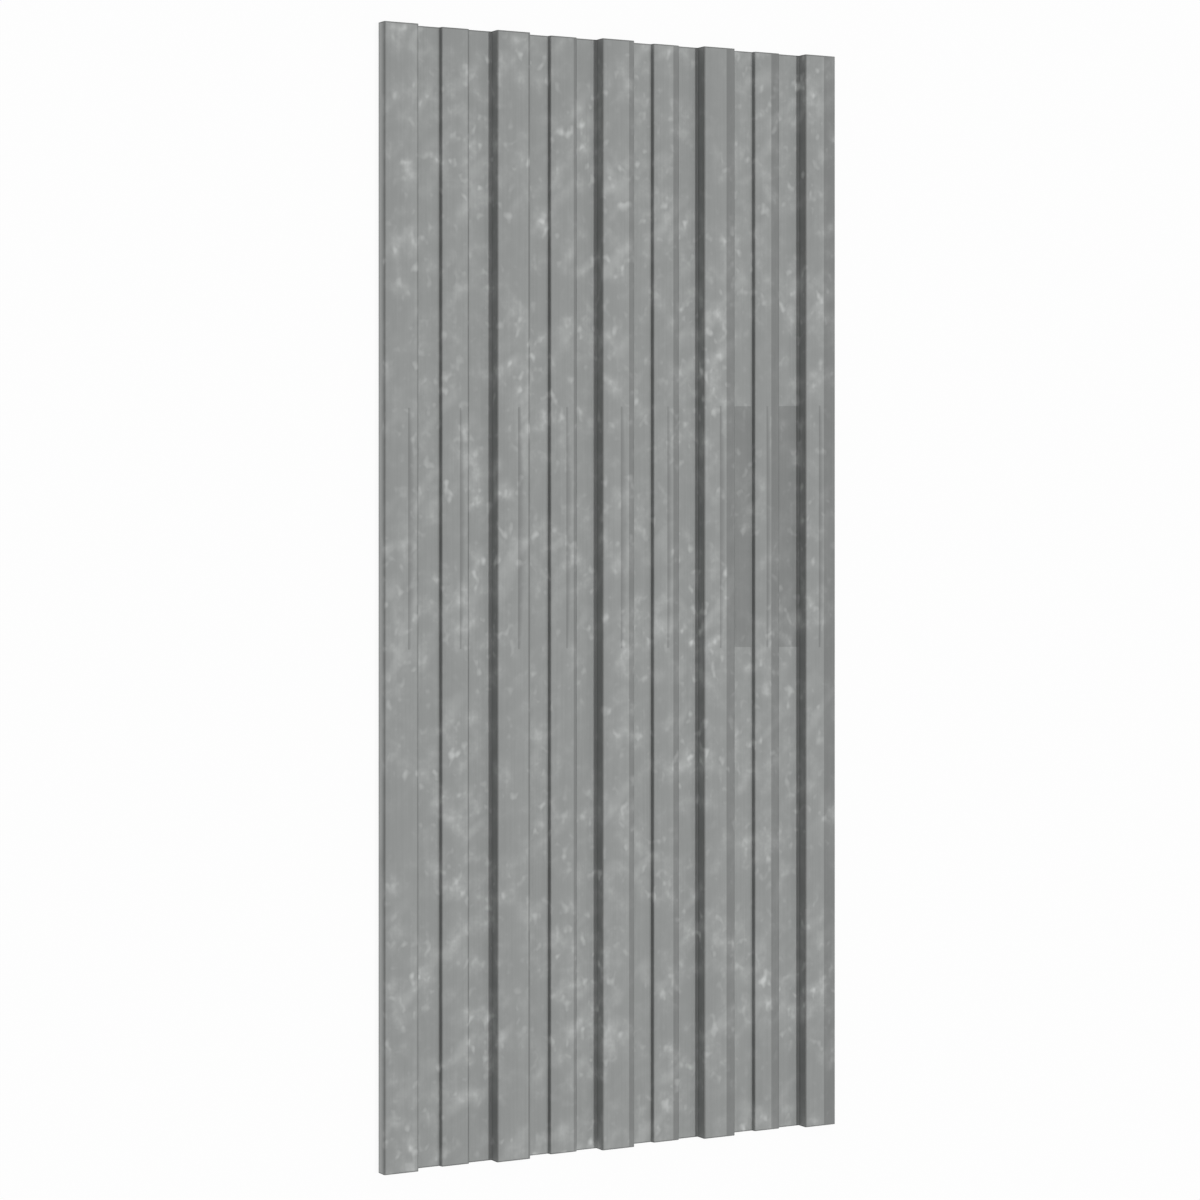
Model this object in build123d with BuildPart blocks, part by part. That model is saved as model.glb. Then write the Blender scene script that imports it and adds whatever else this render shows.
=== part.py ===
# Profiled galvanised steel sheet for roofs and walls: one length of thin sheet, cold rolled into tall
# trapezoidal ribs with a low stiffening rib half way between each pair, and sheared square at both ends.
# Millimetres. The sheet lies flat with its ribs up: X across the ribs, Y along them, Z up from the floor.
# The origin is on the floor, under the middle of the sheet.

import os

from build123d import *

# Driving dimensions
sheet_length = 1000.0
sheet_width = 450.0
sheet_gauge = 0.5
bend_inside_radius = 0.7

inner_rib_count = 3
rib_pitch = 102.0
rib_crown_width = 31.4
rib_height = 10.0
rib_flank_run = 1.8

stiffener_crown_width = 25.0
stiffener_height = 3.5
stiffener_flank_run = 1.4

# The roller turns every bend to the same inside radius, so the outside of a bend is one gauge larger.
bend_outside_radius = bend_inside_radius + sheet_gauge

# The pans between the ribs lie on the floor, and this is the height of their upper face.
pan_level = sheet_gauge

# The inner ribs stand at the rollers' pitch about the middle of the sheet. An edge rib, which laps with the
# next sheet, stands where its outer flank ends at the sheet's edge, and that is a little further out.
first_inner_centre = -rib_pitch * (inner_rib_count - 1) / 2
inner_rib_centres = [first_inner_centre + rib * rib_pitch for rib in range(inner_rib_count)]
edge_rib_centre = sheet_width / 2 - rib_crown_width / 2 - rib_flank_run
rib_centres = [-edge_rib_centre, *inner_rib_centres, edge_rib_centre]


def rib_corners(centre, crown_width, flank_run, height):
    """Corners of one rib on the sheet's upper face: foot, crown, crown, foot."""
    half_crown = crown_width / 2
    half_foot = half_crown + flank_run
    crown_level = pan_level + height
    return [
        (centre - half_foot, pan_level),
        (centre - half_crown, crown_level),
        (centre + half_crown, crown_level),
        (centre + half_foot, pan_level),
    ]


# The upper face of the section, from the left edge to the right: one rib, then stiffener and rib in turn.
face_corners = rib_corners(rib_centres[0], rib_crown_width, rib_flank_run, rib_height)
for left_centre, right_centre in zip(rib_centres, rib_centres[1:]):
    face_corners += rib_corners(
        (left_centre + right_centre) / 2, stiffener_crown_width, stiffener_flank_run, stiffener_height
    )
    face_corners += rib_corners(right_centre, rib_crown_width, rib_flank_run, rib_height)

# Seen on the upper face, a crown bend shows its outside and a foot bend its inside.
# The first and last corners are the sheet's free edges and have no bend.
face_radii = [
    bend_outside_radius if level > pan_level else bend_inside_radius
    for across, level in face_corners[1:-1]
]

# One sheet of even gauge: the upper face is thickened downwards and run out to the sheet's length.
with BuildPart() as corrugated_sheet:
    with BuildSketch(Plane.XZ) as section:
        with BuildLine() as section_outline:
            FilletPolyline(*face_corners, radius=face_radii)
            offset(amount=sheet_gauge, side=Side.RIGHT)
        make_face()
    extrude(amount=sheet_length / 2, both=True)

corrugated_sheet.part.label = "corrugated_sheet"

os.makedirs("parts", exist_ok=True)
export_step(corrugated_sheet.part, "parts/corrugated_sheet.step")
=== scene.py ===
# A length of galvanised steel cladding: one strip, rolled to tall flat-topped ribs with a low stiffening
# rib between each pair. It lies flat on a white studio floor, and the camera looks down on it.

import math

import bpy
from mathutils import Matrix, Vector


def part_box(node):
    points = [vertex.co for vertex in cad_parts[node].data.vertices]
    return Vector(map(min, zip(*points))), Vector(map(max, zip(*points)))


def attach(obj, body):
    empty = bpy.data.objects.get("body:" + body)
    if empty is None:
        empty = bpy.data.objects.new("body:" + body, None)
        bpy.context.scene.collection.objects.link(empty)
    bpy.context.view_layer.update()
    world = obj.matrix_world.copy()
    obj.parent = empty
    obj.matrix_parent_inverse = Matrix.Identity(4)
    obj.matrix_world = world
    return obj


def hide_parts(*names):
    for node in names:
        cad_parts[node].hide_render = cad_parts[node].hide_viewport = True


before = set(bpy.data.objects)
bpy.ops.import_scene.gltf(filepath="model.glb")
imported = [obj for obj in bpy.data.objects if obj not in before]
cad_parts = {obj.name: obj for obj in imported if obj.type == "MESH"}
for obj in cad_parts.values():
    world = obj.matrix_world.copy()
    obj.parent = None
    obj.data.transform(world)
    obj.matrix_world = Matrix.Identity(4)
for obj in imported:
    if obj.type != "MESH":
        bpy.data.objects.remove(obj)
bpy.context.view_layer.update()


# The sheet
# One strip of steel, dipped in zinc and then rolled cold, so every bend runs the whole length and the
# gauge is the same all over. It is slit along both edges and sheared square at both ends, where the steel
# is bare.

sheet_low, sheet_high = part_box("corrugated_sheet")
sheet_width = sheet_high.x - sheet_low.x
sheet_length = sheet_high.y - sheet_low.y
sheet_gauge = 0.0005
bend_inside_radius = 0.0007
rib_count = 5
rib_pitch = 0.102
rib_crown_width = 0.0314
rib_flank_run = 0.0018
rib_height = sheet_high.z - sheet_low.z - sheet_gauge
edge_rib_centre = sheet_width / 2 - rib_crown_width / 2 - rib_flank_run
stiffener_crown_width = 0.025
stiffener_flank_run = 0.0014
stiffener_height = 0.0035
bend_steps = 8
flat_step = 0.004
rows_along = 41


def add_node(tree, kind, sockets=None, **settings):
    """Add a node with its settings. A socket takes a plain value, a socket, or a node's first output."""
    node = tree.nodes.new(kind)
    for name, value in settings.items():
        setattr(node, name, value)
    for key, value in (sockets or {}).items():
        if isinstance(key, str):
            socket = next(s for s in node.inputs if s.enabled and s.name == key)
        else:
            socket = node.inputs[key]
        if isinstance(value, bpy.types.Node):
            value = next(s for s in value.outputs if s.enabled)
        if isinstance(value, bpy.types.NodeSocket):
            tree.links.new(value, socket)
        else:
            socket.default_value = value
    return node


def linear(hex_colour):
    """Turn an sRGB hex colour into the linear one that shaders take."""
    channels = [int(hex_colour[i:i + 2], 16) / 255 for i in (1, 3, 5)]
    return [c / 12.92 if c <= 0.04045 else ((c + 0.055) / 1.055) ** 2.4 for c in channels] + [1.0]


# Hot-dip zinc, weathered: an even mid grey with a broad soft sheen, a pale bloom that is thin nearly
# everywhere and gathers in soft spots and slanting wisps, and faint lines from the rollers.
zinc = bpy.data.materials.new("hot_dip_zinc_weathered")
zinc.use_nodes = True
zinc_tree = zinc.node_tree
zinc_tree.nodes.clear()
zinc_grey = linear("#878988")
place = add_node(zinc_tree, "ShaderNodeTexCoord").outputs["Object"]
axes = add_node(zinc_tree, "ShaderNodeSeparateXYZ", {0: place})

# The thin bloom. It grows with the exponent of a noise, counted in the noise's own spread about its middle,
# so most of the sheet has little of it.
bloom_white = linear("#d4d6d5")
bloom_size = 0.016
bloom_stretch = 0.85
bloom_detail = 3.0
bloom_spread = 0.11
bloom_gather = 0.78
bloom_thin = 0.068
noise_middle = 0.5
bloom_place = add_node(zinc_tree, "ShaderNodeMapping",
                       {"Vector": place, "Scale": (1.0, bloom_stretch, 1.0)})
bloom_field = add_node(zinc_tree, "ShaderNodeTexNoise",
                       {"Vector": bloom_place, "Scale": 1 / bloom_size, "Detail": bloom_detail})
bloom_offset = add_node(zinc_tree, "ShaderNodeMath", {0: bloom_field, 1: noise_middle},
                        operation="SUBTRACT")
bloom_power = add_node(zinc_tree, "ShaderNodeMath", {0: bloom_offset, 1: bloom_gather / bloom_spread},
                       operation="MULTIPLY")
bloom_rise = add_node(zinc_tree, "ShaderNodeMath", {0: bloom_power}, operation="EXPONENT")

# Soft spots, where the bloom is thick.
spot_size = 0.0092
spot_stretch = 0.75
spot_detail = 1.0
spot_from, spot_full = 0.58, 0.84
spot_share = 0.41
spot_place = add_node(zinc_tree, "ShaderNodeMapping",
                      {"Vector": place, "Scale": (1.0, spot_stretch, 1.0)})
spot_field = add_node(zinc_tree, "ShaderNodeTexNoise",
                      {"Vector": spot_place, "Scale": 1 / spot_size, "Detail": spot_detail})
spot_peaks = add_node(zinc_tree, "ShaderNodeMapRange",
                      {"Value": spot_field, "From Min": spot_from, "From Max": spot_full,
                       "To Max": spot_share}, interpolation_type="SMOOTHSTEP")

# Faint wisps, which slant up to the right.
wisp_length = 0.040
wisp_width = 0.015
wisp_turn = math.radians(48)
wisp_detail = 0.0
wisp_from, wisp_full = 0.56, 0.84
wisp_share = 0.125
wisp_place = add_node(zinc_tree, "ShaderNodeMapping",
                      {"Vector": place, "Rotation": (0.0, 0.0, wisp_turn),
                       "Scale": (wisp_length, wisp_width, wisp_width)}, vector_type="TEXTURE")
wisp_field = add_node(zinc_tree, "ShaderNodeTexNoise",
                      {"Vector": wisp_place, "Scale": 1.0, "Detail": wisp_detail})
wisp_peaks = add_node(zinc_tree, "ShaderNodeMapRange",
                      {"Value": wisp_field, "From Min": wisp_from, "From Max": wisp_full,
                       "To Max": wisp_share}, interpolation_type="SMOOTHSTEP")

# All of it comes in groups, with cleaner zinc between them.
group_size = 0.060
group_detail = 2.0
group_from, group_full = 0.38, 0.62
group_least, group_most = 0.2, 1.8
group_field = add_node(zinc_tree, "ShaderNodeTexNoise",
                       {"Vector": place, "Scale": 1 / group_size, "Detail": group_detail})
group_share = add_node(zinc_tree, "ShaderNodeMapRange",
                       {"Value": group_field, "From Min": group_from, "From Max": group_full,
                        "To Min": group_least, "To Max": group_most})
gathered = add_node(zinc_tree, "ShaderNodeMath", {0: spot_peaks, 1: wisp_peaks}, operation="ADD")
bloom_amount = add_node(zinc_tree, "ShaderNodeMath", {0: bloom_rise, 1: bloom_thin, 2: gathered},
                        operation="MULTIPLY_ADD")
bloom_share = add_node(zinc_tree, "ShaderNodeMath", {0: bloom_amount, 1: group_share},
                       operation="MULTIPLY", use_clamp=True)
bloomed = add_node(zinc_tree, "ShaderNodeMix", {"Factor": bloom_share, "A": zinc_grey, "B": bloom_white},
                   data_type="RGBA")

# Painted light: the outer flank along the left edge is made lighter towards its foot, as the white floor
# lights it.
edge_light_colour = linear("#bcbebd")
edge_light_full = 0.00036
edge_light_reach = 0.00162
edge_light_share = add_node(zinc_tree, "ShaderNodeMapRange",
                      {"Value": axes.outputs["X"], "From Min": sheet_low.x + edge_light_reach,
                       "From Max": sheet_low.x + edge_light_full})
edge_lit_colour = add_node(zinc_tree, "ShaderNodeMix", {"Factor": edge_light_share, "A": bloomed, "B": edge_light_colour},
                     data_type="RGBA")

# Painted light makes the pans a little lighter than the folds, against the shade the ribs cast on them.
# On the upper face a painted sheen climbs across each raised flat towards its right bend, on the lamp's
# side, and painted shade darkens a rib's bends and the right bend of a stiffener. All follow the fold,
# where -1 and 1 are the two bends of its crown.
pan_tone = 1.03
folded_tone = 0.99
painted_sheen_depth = 0.035
crease_middle = 0.985
crease_reach = 0.016
crease_shade_depth = 0.76
pan_level = sheet_low.z + 2 * sheet_gauge
raised_level = sheet_low.z + sheet_gauge + stiffener_height - bend_inside_radius
between_levels = sheet_low.z + sheet_gauge + (rib_height + stiffener_height) / 2
facing = add_node(zinc_tree, "ShaderNodeNewGeometry").outputs["Normal"]
facing_axes = add_node(zinc_tree, "ShaderNodeSeparateXYZ", {0: facing})
on_top = add_node(zinc_tree, "ShaderNodeMath", {0: facing_axes.outputs["Z"], 1: 0.0},
                  operation="GREATER_THAN")
on_pan = add_node(zinc_tree, "ShaderNodeMath", {0: axes.outputs["Z"], 1: pan_level}, operation="LESS_THAN")
on_raised = add_node(zinc_tree, "ShaderNodeMath", {0: axes.outputs["Z"], 1: raised_level},
                     operation="GREATER_THAN")
on_rib = add_node(zinc_tree, "ShaderNodeMath", {0: axes.outputs["Z"], 1: between_levels},
                  operation="GREATER_THAN")
fold_place = add_node(zinc_tree, "ShaderNodeAttribute", attribute_name="across_fold").outputs["Fac"]
across = add_node(zinc_tree, "ShaderNodeMath", {0: fold_place, 1: on_top}, operation="MULTIPLY")
across_raised = add_node(zinc_tree, "ShaderNodeMath", {0: across, 1: on_raised}, operation="MULTIPLY")
pan_light_tone = add_node(zinc_tree, "ShaderNodeMapRange",
                     {"Value": on_pan, "To Min": folded_tone, "To Max": pan_tone})
painted_light_tone = add_node(zinc_tree, "ShaderNodeMath", {0: across_raised, 1: painted_sheen_depth, 2: pan_light_tone},
                 operation="MULTIPLY_ADD")
across_rib = add_node(zinc_tree, "ShaderNodeMath", {0: across, 1: on_rib}, operation="MULTIPLY")
from_rib = add_node(zinc_tree, "ShaderNodeMath", {0: across_rib}, operation="ABSOLUTE")
to_bend = add_node(zinc_tree, "ShaderNodeMath", {0: across_raised, 1: from_rib}, operation="MAXIMUM")
# Painted shade along a rib's two bends and the right bend of a stiffener.
at_crease = add_node(zinc_tree, "ShaderNodeMath", {0: to_bend, 1: crease_middle, 2: crease_reach},
                     operation="COMPARE")
crease_shade_tone = add_node(zinc_tree, "ShaderNodeMapRange",
                       {"Value": at_crease, "To Min": 1.0, "To Max": crease_shade_depth})

# Painted shadow lies along the left foot of each fold, where the fold shades it, up the flank to about the
# height of a stiffener and out over a millimetre of the pan. A raised face is kept out of it by adding the
# whole span of a crown.
crown_span = 2.0
foot_shade_from = -1.0
foot_shade_depth = 0.85
off_crown = add_node(zinc_tree, "ShaderNodeMath", {0: on_raised, 1: crown_span, 2: across},
                     operation="MULTIPLY_ADD")
in_foot = add_node(zinc_tree, "ShaderNodeMath", {0: off_crown, 1: foot_shade_from}, operation="LESS_THAN")
foot_shade_tone = add_node(zinc_tree, "ShaderNodeMapRange",
                     {"Value": in_foot, "To Min": 1.0, "To Max": foot_shade_depth})

# Painted shade darkens each raised face along its right side. The strip widens from fold to fold: there is
# none at the left edge of the sheet, and over a third of the crown at the right one. It starts where the
# place across the fold, and the growth over the sheet's width, add up to a limit.
shade_strip_growth = 2.27
shade_strip_limit = 0.737
shade_strip_depth = 0.71
shade_strip_reach = add_node(zinc_tree, "ShaderNodeMath", {0: axes.outputs["X"], 1: shade_strip_growth, 2: across_raised},
                     operation="MULTIPLY_ADD")
shade_strip_band = add_node(zinc_tree, "ShaderNodeMath", {0: shade_strip_reach, 1: shade_strip_limit}, operation="GREATER_THAN")
shade_strip = add_node(zinc_tree, "ShaderNodeMath", {0: shade_strip_band, 1: on_raised}, operation="MULTIPLY")
shade_strip_tone = add_node(zinc_tree, "ShaderNodeMapRange", {"Value": shade_strip, "To Min": 1.0, "To Max": shade_strip_depth})

# Over the middle of the length each raised face also has a thin line of painted shade, left of the shaded
# strip, which starts in the same way. It fades to the right, narrows to its ends, and is a little longer
# from fold to fold. The two pans beside the last stiffener are darkened there with painted shade too.
mid_shade_middle = 0.060
mid_shade_half_length = 0.109
mid_shade_growth = 1.28
mid_shade_limit = 0.152
mid_shade_spread = 0.019
mid_shade_width = 0.54
mid_shade_taper = 0.6
mid_shade_depth = 0.72
dull_pan_share = 0.82
dull_pans_from = rib_pitch + rib_crown_width / 2
mid_shade_half = add_node(zinc_tree, "ShaderNodeMath",
                      {0: axes.outputs["X"], 1: mid_shade_spread, 2: mid_shade_half_length},
                      operation="MULTIPLY_ADD")
mid_shade_offset = add_node(zinc_tree, "ShaderNodeMath", {0: axes.outputs["Y"], 1: mid_shade_middle},
                        operation="SUBTRACT")
along_mid_shade = add_node(zinc_tree, "ShaderNodeMath", {0: mid_shade_offset, 1: mid_shade_half}, operation="DIVIDE")
in_mid_shade = add_node(zinc_tree, "ShaderNodeMath", {0: along_mid_shade, 1: 0.0, 2: 1.0}, operation="COMPARE")
narrowing = add_node(zinc_tree, "ShaderNodeMath", {0: along_mid_shade, 1: along_mid_shade}, operation="MULTIPLY")
mid_shade_stop = add_node(zinc_tree, "ShaderNodeMath",
                      {0: narrowing, 1: -mid_shade_taper * mid_shade_width, 2: mid_shade_limit + mid_shade_width},
                      operation="MULTIPLY_ADD")
mid_shade_reach = add_node(zinc_tree, "ShaderNodeMath",
                       {0: axes.outputs["X"], 1: mid_shade_growth, 2: across_raised}, operation="MULTIPLY_ADD")
mid_shade_start = add_node(zinc_tree, "ShaderNodeMath", {0: mid_shade_reach, 1: mid_shade_limit},
                       operation="GREATER_THAN")
mid_shade_fade = add_node(zinc_tree, "ShaderNodeMapRange",
                      {"Value": mid_shade_reach, "From Min": mid_shade_limit, "From Max": mid_shade_stop,
                       "To Min": 1.0, "To Max": 0.0},
                      interpolation_type="SMOOTHSTEP")
on_right = add_node(zinc_tree, "ShaderNodeMath", {0: axes.outputs["X"], 1: dull_pans_from},
                    operation="GREATER_THAN")
mid_shade_line = on_raised
for limit in (mid_shade_start, mid_shade_fade, on_top):
    mid_shade_line = add_node(zinc_tree, "ShaderNodeMath", {0: mid_shade_line, 1: limit}, operation="MULTIPLY")
dull_pan = on_pan
for limit in (on_right, on_top, dull_pan_share):
    dull_pan = add_node(zinc_tree, "ShaderNodeMath", {0: dull_pan, 1: limit}, operation="MULTIPLY")
mid_shaded = add_node(zinc_tree, "ShaderNodeMath", {0: mid_shade_line, 1: dull_pan}, operation="MAXIMUM")
mid_shades = add_node(zinc_tree, "ShaderNodeMath", {0: mid_shaded, 1: in_mid_shade}, operation="MULTIPLY")
mid_shade_tone = add_node(zinc_tree, "ShaderNodeMapRange",
                      {"Value": mid_shades, "To Min": 1.0, "To Max": mid_shade_depth})

# The shear drags the zinc at both ends into a thin dark line.
shear_line_width = 0.0010
shear_reach = sheet_length / 2 - shear_line_width
shear_dulling = 0.62
from_waist = add_node(zinc_tree, "ShaderNodeMath", {0: axes.outputs["Y"]}, operation="ABSOLUTE")
at_shear = add_node(zinc_tree, "ShaderNodeMath", {0: from_waist, 1: shear_reach}, operation="GREATER_THAN")
shear_tone = add_node(zinc_tree, "ShaderNodeMapRange",
                      {"Value": at_shear, "To Min": 1.0, "To Max": shear_dulling})

# Where painted shade and the shear line cross, the darkest one shows, and it darkens the painted light.
darkest_tone = crease_shade_tone
for darkening_tone in (foot_shade_tone, shade_strip_tone, mid_shade_tone, shear_tone):
    darkest_tone = add_node(zinc_tree, "ShaderNodeMath", {0: darkest_tone, 1: darkening_tone},
                            operation="MINIMUM")
tone = add_node(zinc_tree, "ShaderNodeMath", {0: painted_light_tone, 1: darkest_tone}, operation="MULTIPLY")

# The rollers draw fine lines down the strip. Real ones lie ten times closer, and would not show.
roller_line_size = 0.0016
roller_line_length = 0.090
roller_line_detail = 1.0
roller_line_depth = 0.06
roller_lines = add_node(zinc_tree, "ShaderNodeMapping",
                        {"Vector": place, "Scale": (1.0, roller_line_size / roller_line_length, 1.0)})
line_relief = add_node(zinc_tree, "ShaderNodeTexNoise",
                       {"Vector": roller_lines, "Scale": 1 / roller_line_size,
                        "Detail": roller_line_detail})
line_tone = add_node(zinc_tree, "ShaderNodeMapRange",
                     {"Value": line_relief, "To Min": 1 - roller_line_depth,
                      "To Max": 1 + roller_line_depth})
lined_tone = add_node(zinc_tree, "ShaderNodeMath", {0: tone, 1: line_tone}, operation="MULTIPLY")
# The colour, with its painted edge light, takes the painted light and shade of the tone.
toned = add_node(zinc_tree, "ShaderNodeVectorMath", {"Vector": edge_lit_colour, "Scale": lined_tone},
                 operation="SCALE")

# The bloom is a little proud of the bare zinc, and rougher.
bloom_proud = 2.0
relief_strength = 0.15
relief_height = 0.0001
bare_roughness = 0.67
bloom_roughness = 0.95
relief = add_node(zinc_tree, "ShaderNodeMath", {0: bloom_share, 1: bloom_proud, 2: line_relief},
                  operation="MULTIPLY_ADD")
zinc_bump = add_node(zinc_tree, "ShaderNodeBump",
                     {"Height": relief, "Strength": relief_strength, "Distance": relief_height})
zinc_roughness = add_node(zinc_tree, "ShaderNodeMapRange",
                          {"Value": bloom_share, "To Min": bare_roughness, "To Max": bloom_roughness})
zinc_skin = add_node(zinc_tree, "ShaderNodeBsdfPrincipled",
                     {"Base Color": toned, "Metallic": 0.5, "Roughness": zinc_roughness,
                      "Normal": zinc_bump})
add_node(zinc_tree, "ShaderNodeOutputMaterial", {"Surface": zinc_skin})

# Bare carbon steel where the sheet was cut: darker than the zinc, and uneven from the grain of the cut. The
# real grain is finer, and would not show.
steel = bpy.data.materials.new("sheared_carbon_steel")
steel.use_nodes = True
steel_tree = steel.node_tree
steel_tree.nodes.clear()
cut_dark = linear("#5d5f60")
cut_bright = linear("#8b8d8e")
cut_grain = 0.0008
cut_detail = 1.0
cut_place = add_node(steel_tree, "ShaderNodeTexCoord").outputs["Object"]
grain_field = add_node(steel_tree, "ShaderNodeTexNoise",
                       {"Vector": cut_place, "Scale": 1 / cut_grain, "Detail": cut_detail})
cut_colour = add_node(steel_tree, "ShaderNodeMix", {"Factor": grain_field, "A": cut_dark, "B": cut_bright},
                      data_type="RGBA")
steel_skin = add_node(steel_tree, "ShaderNodeBsdfPrincipled",
                      {"Base Color": cut_colour, "Roughness": 0.5, "Metallic": 0.7})
add_node(steel_tree, "ShaderNodeOutputMaterial", {"Surface": steel_skin})

# The rolled section, drawn across the strip and swept along it.
rolling_tree = bpy.data.node_groups.new("Rolled sheet", "GeometryNodeTree")
rolling_sizes = {
    "Length": sheet_length,
    "Gauge": sheet_gauge,
    "Inside Radius": bend_inside_radius,
    "Rib Pitch": rib_pitch,
    "Edge Rib Centre": edge_rib_centre,
    "Rib Crown": rib_crown_width,
    "Rib Foot": rib_crown_width + 2 * rib_flank_run,
    "Rib Height": rib_height,
    "Stiffener Crown": stiffener_crown_width,
    "Stiffener Foot": stiffener_crown_width + 2 * stiffener_flank_run,
    "Stiffener Height": stiffener_height,
    "Flat Step": flat_step,
}
rolling_counts = {"Ribs": rib_count, "Bend Steps": bend_steps, "Rows": rows_along}
rolling_inputs = {}
rolling_kinds = {**dict.fromkeys(rolling_sizes, "Float"), **dict.fromkeys(rolling_counts, "Int"),
                 "Zinc": "Material"}
for name, kind in rolling_kinds.items():
    rolling_inputs[name] = rolling_tree.interface.new_socket(name, in_out="INPUT",
                                                             socket_type="NodeSocket" + kind)
rolling_tree.interface.new_socket("Sheet", in_out="OUTPUT", socket_type="NodeSocketGeometry")
given = add_node(rolling_tree, "NodeGroupInput").outputs

# Inner ribs stand on the rollers' pitch. The first and last rib, which have one neighbour on the line, are
# moved out to the sheet's edges.
inner_neighbours = 2
gaps = add_node(rolling_tree, "ShaderNodeMath", {0: given["Ribs"], 1: 1}, operation="SUBTRACT")
span = add_node(rolling_tree, "ShaderNodeMath", {0: gaps, 1: given["Rib Pitch"]}, operation="MULTIPLY")
half_span = add_node(rolling_tree, "ShaderNodeMath", {0: span, 1: -0.5}, operation="MULTIPLY")
first_rib = add_node(rolling_tree, "ShaderNodeCombineXYZ", {"X": half_span})
next_rib = add_node(rolling_tree, "ShaderNodeCombineXYZ", {"X": given["Rib Pitch"]})
even_ribs = add_node(rolling_tree, "GeometryNodeMeshLine",
                     {"Count": given["Ribs"], "Start Location": first_rib, "Offset": next_rib})
neighbours = add_node(rolling_tree, "GeometryNodeInputMeshVertexNeighbors")
at_edge = add_node(rolling_tree, "ShaderNodeMath", {0: neighbours, 1: inner_neighbours},
                   operation="LESS_THAN")
rib_place = add_node(rolling_tree, "GeometryNodeInputPosition")
rib_axes = add_node(rolling_tree, "ShaderNodeSeparateXYZ", {0: rib_place})
edge_side = add_node(rolling_tree, "ShaderNodeMath", {0: rib_axes.outputs["X"]}, operation="SIGN")
edge_across = add_node(rolling_tree, "ShaderNodeMath", {0: edge_side, 1: given["Edge Rib Centre"]},
                       operation="MULTIPLY")
edge_place = add_node(rolling_tree, "ShaderNodeCombineXYZ", {"X": edge_across})
rib_line = add_node(rolling_tree, "GeometryNodeSetPosition",
                    {"Geometry": even_ribs, "Selection": at_edge, "Position": edge_place})

# A trapezoid stands at each rib, and a lower one half way between each pair. Its corners keep how far
# across the fold they are, for the zinc to follow.
fold_lines = add_node(rolling_tree, "GeometryNodeJoinGeometry")
for fold, line_part in (("Rib", "VERTICES"), ("Stiffener", "EDGES")):
    trapezoid = add_node(rolling_tree, "GeometryNodeCurvePrimitiveQuadrilateral",
                         {"Bottom Width": given[fold + " Foot"], "Top Width": given[fold + " Crown"],
                          "Height": given[fold + " Height"], "Offset": 0.0}, mode="TRAPEZOID")
    middle_level = add_node(rolling_tree, "ShaderNodeMath",
                            {0: given[fold + " Height"], 1: 0.5, 2: given["Gauge"]},
                            operation="MULTIPLY_ADD")
    lift = add_node(rolling_tree, "ShaderNodeCombineXYZ", {"Y": middle_level})
    standing = add_node(rolling_tree, "GeometryNodeTransform",
                        {"Geometry": trapezoid, "Translation": lift})
    trapezoid_place = add_node(rolling_tree, "GeometryNodeInputPosition")
    trapezoid_axes = add_node(rolling_tree, "ShaderNodeSeparateXYZ", {0: trapezoid_place})
    half_crown = add_node(rolling_tree, "ShaderNodeMath", {0: given[fold + " Crown"], 1: 0.5},
                          operation="MULTIPLY")
    across_fold = add_node(rolling_tree, "ShaderNodeMath", {0: trapezoid_axes.outputs["X"], 1: half_crown},
                           operation="DIVIDE")
    measured = add_node(rolling_tree, "GeometryNodeStoreNamedAttribute",
                        {"Geometry": standing, "Name": "across_fold", "Value": across_fold},
                        data_type="FLOAT", domain="POINT")
    centres = add_node(rolling_tree, "GeometryNodeMeshToPoints", {"Mesh": rib_line}, mode=line_part)
    placed = add_node(rolling_tree, "GeometryNodeInstanceOnPoints",
                      {"Points": centres, "Instance": measured})
    rolling_tree.links.new(placed.outputs[0], fold_lines.inputs[0])

# The corners of all folds are threaded from one edge of the strip to the other.
folds = add_node(rolling_tree, "GeometryNodeRealizeInstances", {0: fold_lines})
corners = add_node(rolling_tree, "GeometryNodeCurveToPoints", {0: folds}, mode="EVALUATED")
corner_place = add_node(rolling_tree, "GeometryNodeInputPosition")
corner_axes = add_node(rolling_tree, "ShaderNodeSeparateXYZ", {0: corner_place})
thread = add_node(rolling_tree, "GeometryNodePointsToCurves",
                  {"Points": corners, "Weight": corner_axes.outputs["X"]})

# The upper face turns on the outside radius at a crown and on the inside radius at a foot.
outside_radius = add_node(rolling_tree, "ShaderNodeMath", {0: given["Inside Radius"], 1: given["Gauge"]},
                          operation="ADD")
above_pan = add_node(rolling_tree, "ShaderNodeMath", {0: given["Gauge"], 1: 2.0}, operation="MULTIPLY")
at_crown = add_node(rolling_tree, "ShaderNodeMath", {0: corner_axes.outputs["Y"], 1: above_pan},
                    operation="GREATER_THAN")
bend_radius = add_node(rolling_tree, "GeometryNodeSwitch",
                       {"Switch": at_crown, "False": given["Inside Radius"], "True": outside_radius},
                       input_type="FLOAT")
bent = add_node(rolling_tree, "GeometryNodeFilletCurve",
                {"Curve": thread, "Count": given["Bend Steps"], "Radius": bend_radius}, mode="POLY")

# Flats are cut into short steps, so that the shading of a bend stays at the bend.
section_place = add_node(rolling_tree, "GeometryNodeInputPosition")
section_index = add_node(rolling_tree, "GeometryNodeInputIndex")
next_index = add_node(rolling_tree, "ShaderNodeMath", {0: section_index, 1: 1}, operation="ADD")
next_place = add_node(rolling_tree, "GeometryNodeFieldAtIndex",
                      {"Index": next_index, "Value": section_place},
                      data_type="FLOAT_VECTOR", domain="POINT")
flat_run = add_node(rolling_tree, "ShaderNodeVectorMath", {0: section_place, 1: next_place},
                    operation="DISTANCE")
flat_cuts = add_node(rolling_tree, "ShaderNodeMath", {0: flat_run, 1: given["Flat Step"]},
                     operation="DIVIDE")
section = add_node(rolling_tree, "GeometryNodeSubdivideCurve", {"Curve": bent, "Cuts": flat_cuts})

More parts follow.
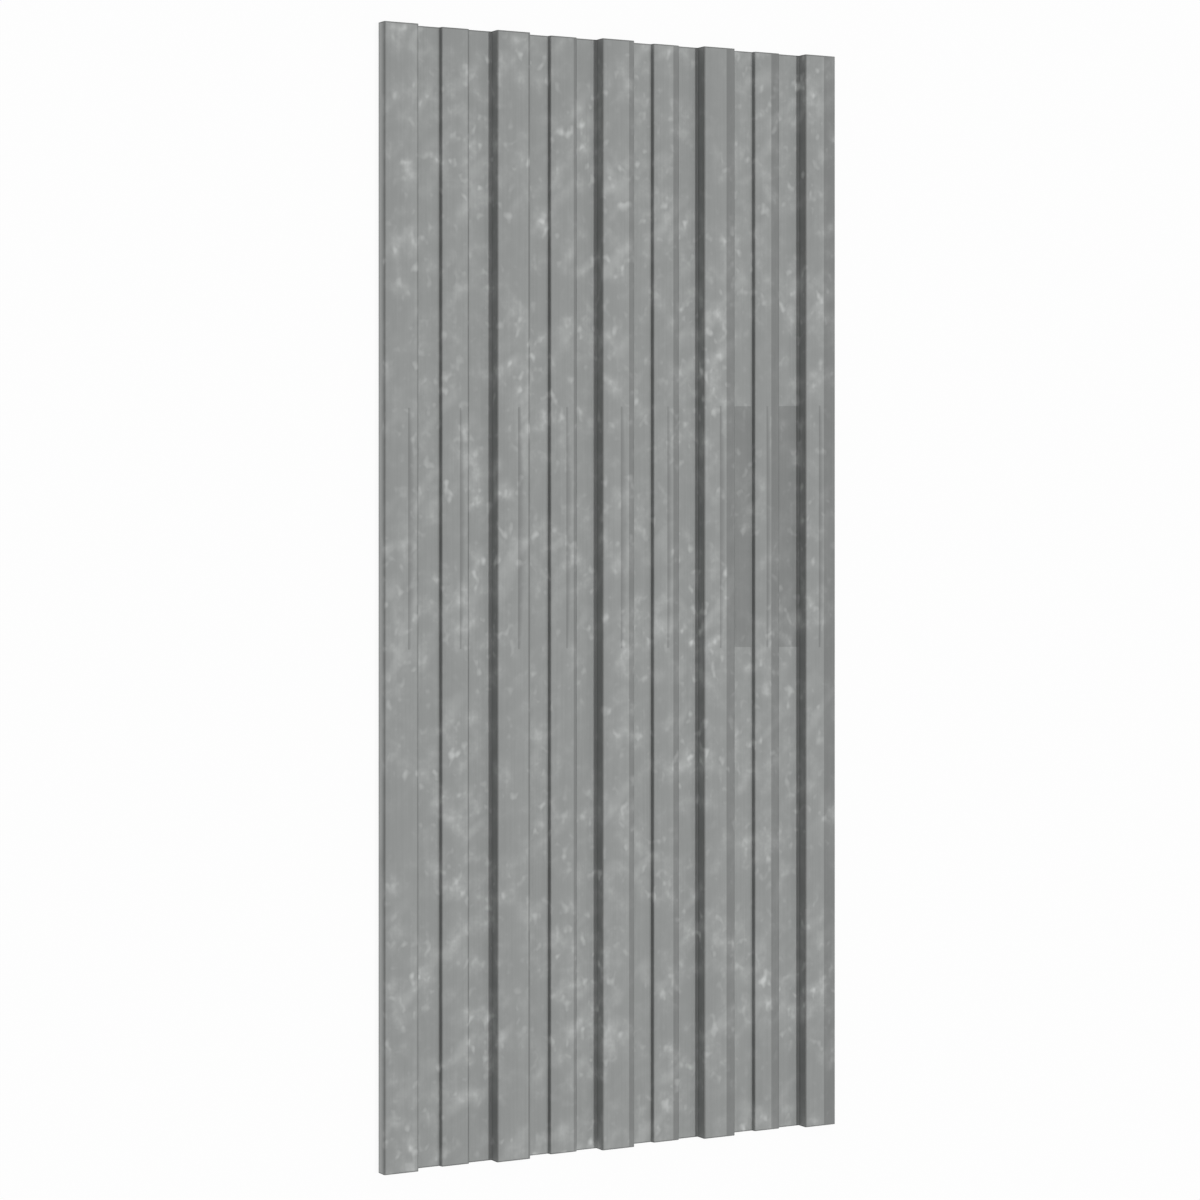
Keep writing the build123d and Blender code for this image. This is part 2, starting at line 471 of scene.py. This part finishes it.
# The section is swept along the strip and laid flat, ribs up.
half_length = add_node(rolling_tree, "ShaderNodeMath", {0: given["Length"], 1: 0.5}, operation="MULTIPLY")
far_end = add_node(rolling_tree, "ShaderNodeCombineXYZ", {"Z": half_length})
near_end = add_node(rolling_tree, "ShaderNodeVectorMath", {"Vector": far_end, "Scale": -1.0},
                    operation="SCALE")
strip = add_node(rolling_tree, "GeometryNodeCurvePrimitiveLine", {"Start": near_end, "End": far_end})
strip_rows = add_node(rolling_tree, "GeometryNodeResampleCurve", {"Curve": strip, "Count": given["Rows"]})
swept = add_node(rolling_tree, "GeometryNodeCurveToMesh", {"Curve": strip_rows, "Profile Curve": section})
facing_up = add_node(rolling_tree, "GeometryNodeFlipFaces", {"Mesh": swept})
laid = add_node(rolling_tree, "GeometryNodeTransform",
                {"Geometry": facing_up, "Rotation": (math.pi / 2, 0.0, 0.0)})
real = add_node(rolling_tree, "GeometryNodeRealizeInstances", {0: laid})
coated = add_node(rolling_tree, "GeometryNodeSetMaterial", {"Geometry": real, "Material": given["Zinc"]})
add_node(rolling_tree, "NodeGroupOutput", {0: coated})

# The strip is given its gauge, and stays a plain mesh with its bends smooth and its cut edges sharp.
sharp_from = math.radians(40)
draft = bpy.data.objects.new("sheet_draft", bpy.data.meshes.new("sheet_draft"))
bpy.context.scene.collection.objects.link(draft)
rolling = draft.modifiers.new("rolling", "NODES")
rolling.node_group = rolling_tree
for name, value in {**rolling_sizes, **rolling_counts, "Zinc": zinc}.items():
    rolling[rolling_inputs[name].identifier] = value
thickness = draft.modifiers.new("thickness", "SOLIDIFY")
thickness.thickness = sheet_gauge
thickness.offset = -1.0
thickness.use_even_offset = True
thickness.use_quality_normals = True
thickness.material_offset_rim = 1
drafted = draft.evaluated_get(bpy.context.evaluated_depsgraph_get())
sheet_mesh = bpy.data.meshes.new_from_object(drafted)
bpy.data.objects.remove(draft)
sheet_mesh.name = "galvanised_sheet"
sheet_mesh.materials.append(steel)
sheet_mesh.shade_smooth()
sheet_mesh.set_sharp_from_angle(angle=sharp_from)
sheet = bpy.data.objects.new("galvanised_sheet", sheet_mesh)
bpy.context.scene.collection.objects.link(sheet)
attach(sheet, "root")
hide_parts("corrugated_sheet")


# The studio
# A wide white floor under a white sky, and one lamp like a far window, high on the right of the sheet, so
# that each rib shades the pan on its left. The camera sees the floor a little lighter than it is lit, and
# the sky whiter than it shines on the sheet.


def looked_at(tree):
    """Give 1 for a ray that looks, also by way of metal or glass, and 0 for one that only lights."""
    ray = add_node(tree, "ShaderNodeLightPath").outputs
    seen_or_mirrored = add_node(tree, "ShaderNodeMath",
                                {0: ray["Is Camera Ray"], 1: ray["Is Glossy Ray"]}, operation="MAXIMUM")
    return add_node(tree, "ShaderNodeMath", {0: seen_or_mirrored, 1: ray["Is Transmission Ray"]},
                    operation="MAXIMUM")


floor_half = 6.0
floor_gap = 0.0001
floor_level = sheet_low.z - floor_gap
floor_mesh = bpy.data.meshes.new("studio_floor")
floor_mesh.from_pydata([(-floor_half, -floor_half, floor_level), (floor_half, -floor_half, floor_level),
                        (floor_half, floor_half, floor_level), (-floor_half, floor_half, floor_level)],
                       [], [(0, 1, 2, 3)])
floor = bpy.data.objects.new("studio_floor", floor_mesh)
bpy.context.scene.collection.objects.link(floor)
paint = bpy.data.materials.new("matt_white_paint")
paint.use_nodes = True
paint_tree = paint.node_tree
paint_tree.nodes.clear()
seen_white = 0.92
white_share = add_node(paint_tree, "ShaderNodeMath", {0: looked_at(paint_tree), 1: seen_white},
                       operation="MULTIPLY")
matt = add_node(paint_tree, "ShaderNodeBsdfDiffuse", {"Color": linear("#fcfcfc")})
glow = add_node(paint_tree, "ShaderNodeEmission", {"Color": linear("#ffffff"), "Strength": 1.0})
shown = add_node(paint_tree, "ShaderNodeMixShader", {0: white_share, 1: matt, 2: glow})
add_node(paint_tree, "ShaderNodeOutputMaterial", {"Surface": shown})
floor_mesh.materials.append(paint)

sky_level = 0.47
sky = bpy.data.worlds.new("white_studio")
bpy.context.scene.world = sky
sky.use_nodes = True
sky_tree = sky.node_tree
sky_tree.nodes.clear()
sky_strength = add_node(sky_tree, "ShaderNodeMapRange",
                        {"Value": looked_at(sky_tree), "To Min": sky_level, "To Max": 1.0})
sky_light = add_node(sky_tree, "ShaderNodeBackground",
                     {"Color": linear("#ffffff"), "Strength": sky_strength})
add_node(sky_tree, "ShaderNodeOutputWorld", {"Surface": sky_light})

lamp_lean = math.radians(25.6)
lamp = bpy.data.lights.new("window_lamp", "SUN")
lamp.energy = 1.31
lamp.angle = math.radians(2.0)
lamp_object = bpy.data.objects.new("window_lamp", lamp)
lamp_object.rotation_euler = (0.0, lamp_lean, 0.0)
bpy.context.scene.collection.objects.link(lamp_object)


# The camera
# It stands high on the left of the sheet and is turned about the sheet's length alone, so the ribs stay
# parallel in the picture. Its frame is shifted down, because more of the sheet lies below its axis.

camera = bpy.data.cameras.new("camera")
camera.sensor_width = 36.0
camera.lens = 77.86
camera.shift_y = -0.0873
camera_object = bpy.data.objects.new("camera", camera)
camera_object.location = (-0.9769, 0.0891, 2.1367)
camera_object.rotation_euler = (0.0, math.radians(-24.267), 0.0)
bpy.context.scene.collection.objects.link(camera_object)
bpy.context.scene.camera = camera_object
bpy.context.scene.view_settings.view_transform = "Standard"
